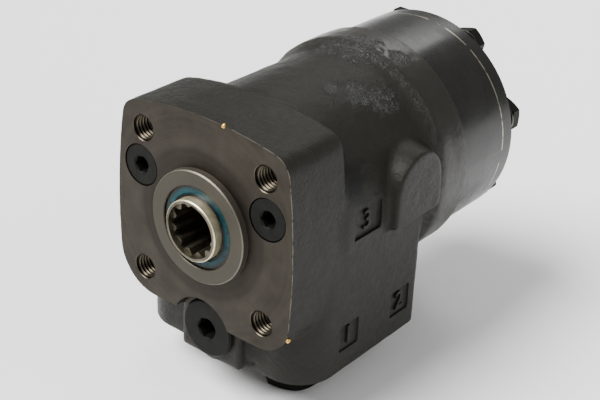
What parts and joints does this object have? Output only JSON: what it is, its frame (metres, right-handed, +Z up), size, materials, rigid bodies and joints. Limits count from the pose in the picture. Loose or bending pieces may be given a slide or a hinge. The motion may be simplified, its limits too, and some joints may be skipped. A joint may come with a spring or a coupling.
{
  "type": "orbital steering unit",
  "caption": "Orbital hydraulic steering unit with square flange, splined input socket, round gear set with bolted end cover and a port block below.",
  "frame": {"origin": "centre of the mounting flange's front face, on the input spline's axis", "axes": "+Y along the main axis from the flange to the end cover, +Z up, ports open towards -Z, +X to the right seen from the front"},
  "size_m": [0.0945, 0.1528, 0.1236],
  "materials": {
    "cast_housing": "satin black paint on sand-cast iron, machined faces bare",
    "black_steel": "smooth satin black paint",
    "dust_seal_rubber": "blue-green nitrile rubber",
    "black_rubber": "black nitrile rubber",
    "black_oxide": "matt black oxide on steel",
    "seal_washer": "plain pressed metal",
    "bright_steel": "ground and hardened steel"
  },
  "bodies": {
    "housing_body": {"housing": "cast_housing", "dust_seal": "dust_seal_rubber", "shaft_seal": "black_rubber", "front_race": "bright_steel", "distributor_plate": "black_steel", "gear_ring": "black_steel", "end_cover": "black_steel", "housing_o_ring": "black_rubber", "plate_o_ring": "black_rubber", "cover_o_ring": "black_rubber", "cover_bolts": "black_oxide", "bolt_washers": "seal_washer", "check_bush": "bright_steel", "suction_pins": "bright_steel", "relief_plug": "black_oxide", "relief_plug_washer": "seal_washer", "relief_screw": "bright_steel", "relief_seat": "bright_steel", "relief_spring": "bright_steel", "shock_plug_left": "black_oxide", "shock_plug_right": "black_oxide", "shock_screw_left": "bright_steel", "shock_screw_right": "bright_steel", "shock_seat_left": "bright_steel", "shock_seat_right": "bright_steel", "shock_spring_left": "bright_steel", "shock_spring_right": "bright_steel", "tank_port_plug": "black_oxide", "tank_plug_ring": "seal_washer"},
    "sleeve_body": {"control_sleeve": "bright_steel", "cross_pin": "bright_steel", "spring_ring": "bright_steel", "centring_springs": "bright_steel", "rear_race": "bright_steel"},
    "spool_body": {"spool": "bright_steel"},
    "cage_body": {"needle_cage": "bright_steel", "needles": "bright_steel"},
    "carrier_body": {"cardan_spacer": "bright_steel"},
    "rotor_body": {"gear_rotor": "bright_steel"},
    "cardan_body": {"cardan_shaft": "bright_steel"},
    "relief_poppet_body": {"relief_poppet": "bright_steel"},
    "shock_ball_left_body": {"shock_ball_left": "bright_steel"},
    "shock_ball_right_body": {"shock_ball_right": "bright_steel"},
    "check_ball_body": {"check_ball": "bright_steel"},
    "suction_ball_left_body": {"suction_ball_left": "bright_steel"},
    "suction_ball_right_body": {"suction_ball_right": "bright_steel"}
  },
  "joints": [
    {"name": "sleeve_turn", "type": "hinge", "parent": "housing_body", "child": "sleeve_body", "pos_m": [0, 0, 0], "axis": [0, -1, 0], "continuous": true},
    {"name": "spool_deflect", "type": "hinge", "parent": "sleeve_body", "child": "spool_body", "pos_m": [0, 0, 0], "axis": [0, -1, 0], "range_deg": [-10, 10], "stiffness_Nm_per_rad": 6, "deforming": ["centring_springs"]},
    {"name": "cage_turn", "type": "hinge", "parent": "housing_body", "child": "cage_body", "pos_m": [0, 0, 0], "axis": [0, -1, 0], "continuous": true},
    {"name": "orbit", "type": "hinge", "parent": "housing_body", "child": "carrier_body", "pos_m": [0, 0, 0], "axis": [0, -1, 0], "continuous": true},
    {"name": "rotor_spin", "type": "hinge", "parent": "carrier_body", "child": "rotor_body", "pos_m": [0.00322, 0.1241, 0.00074], "axis": [0, -1, 0], "continuous": true},
    {"name": "cardan_spin", "type": "hinge", "parent": "carrier_body", "child": "cardan_body", "pos_m": [0, 0.0525, 0], "axis": [-0.0454, -0.9989, -0.0105], "continuous": true},
    {"name": "relief_lift", "type": "slide", "parent": "housing_body", "child": "relief_poppet_body", "axis": [0, -1, 0], "range_m": [0, 0.0015], "stiffness_N_per_m": 8000, "springref_m": -0.004, "deforming": ["relief_spring"]},
    {"name": "shock_lift_left", "type": "slide", "parent": "housing_body", "child": "shock_ball_left_body", "axis": [0, -1, 0], "range_m": [0, 0.001], "stiffness_N_per_m": 8000, "springref_m": -0.004, "deforming": ["shock_spring_left"]},
    {"name": "shock_lift_right", "type": "slide", "parent": "housing_body", "child": "shock_ball_right_body", "axis": [0, -1, 0], "range_m": [0, 0.001], "stiffness_N_per_m": 8000, "springref_m": -0.004, "deforming": ["shock_spring_right"]},
    {"name": "check_lift", "type": "slide", "parent": "housing_body", "child": "check_ball_body", "axis": [0, -1, 0], "range_m": [0, 0.003]},
    {"name": "suction_lift_left", "type": "slide", "parent": "housing_body", "child": "suction_ball_left_body", "axis": [0, 1, 0], "range_m": [0, 0.001]},
    {"name": "suction_lift_right", "type": "slide", "parent": "housing_body", "child": "suction_ball_right_body", "axis": [0, 1, 0], "range_m": [0, 0.001]}
  ],
  "couplings": [
    {"joint": "cage_turn", "follows": "sleeve_turn", "ratio": 0.5},
    {"joint": "orbit", "follows": "sleeve_turn", "ratio": -6},
    {"joint": "rotor_spin", "follows": "sleeve_turn", "ratio": 7},
    {"joint": "cardan_spin", "follows": "sleeve_turn", "ratio": 7}
  ]
}
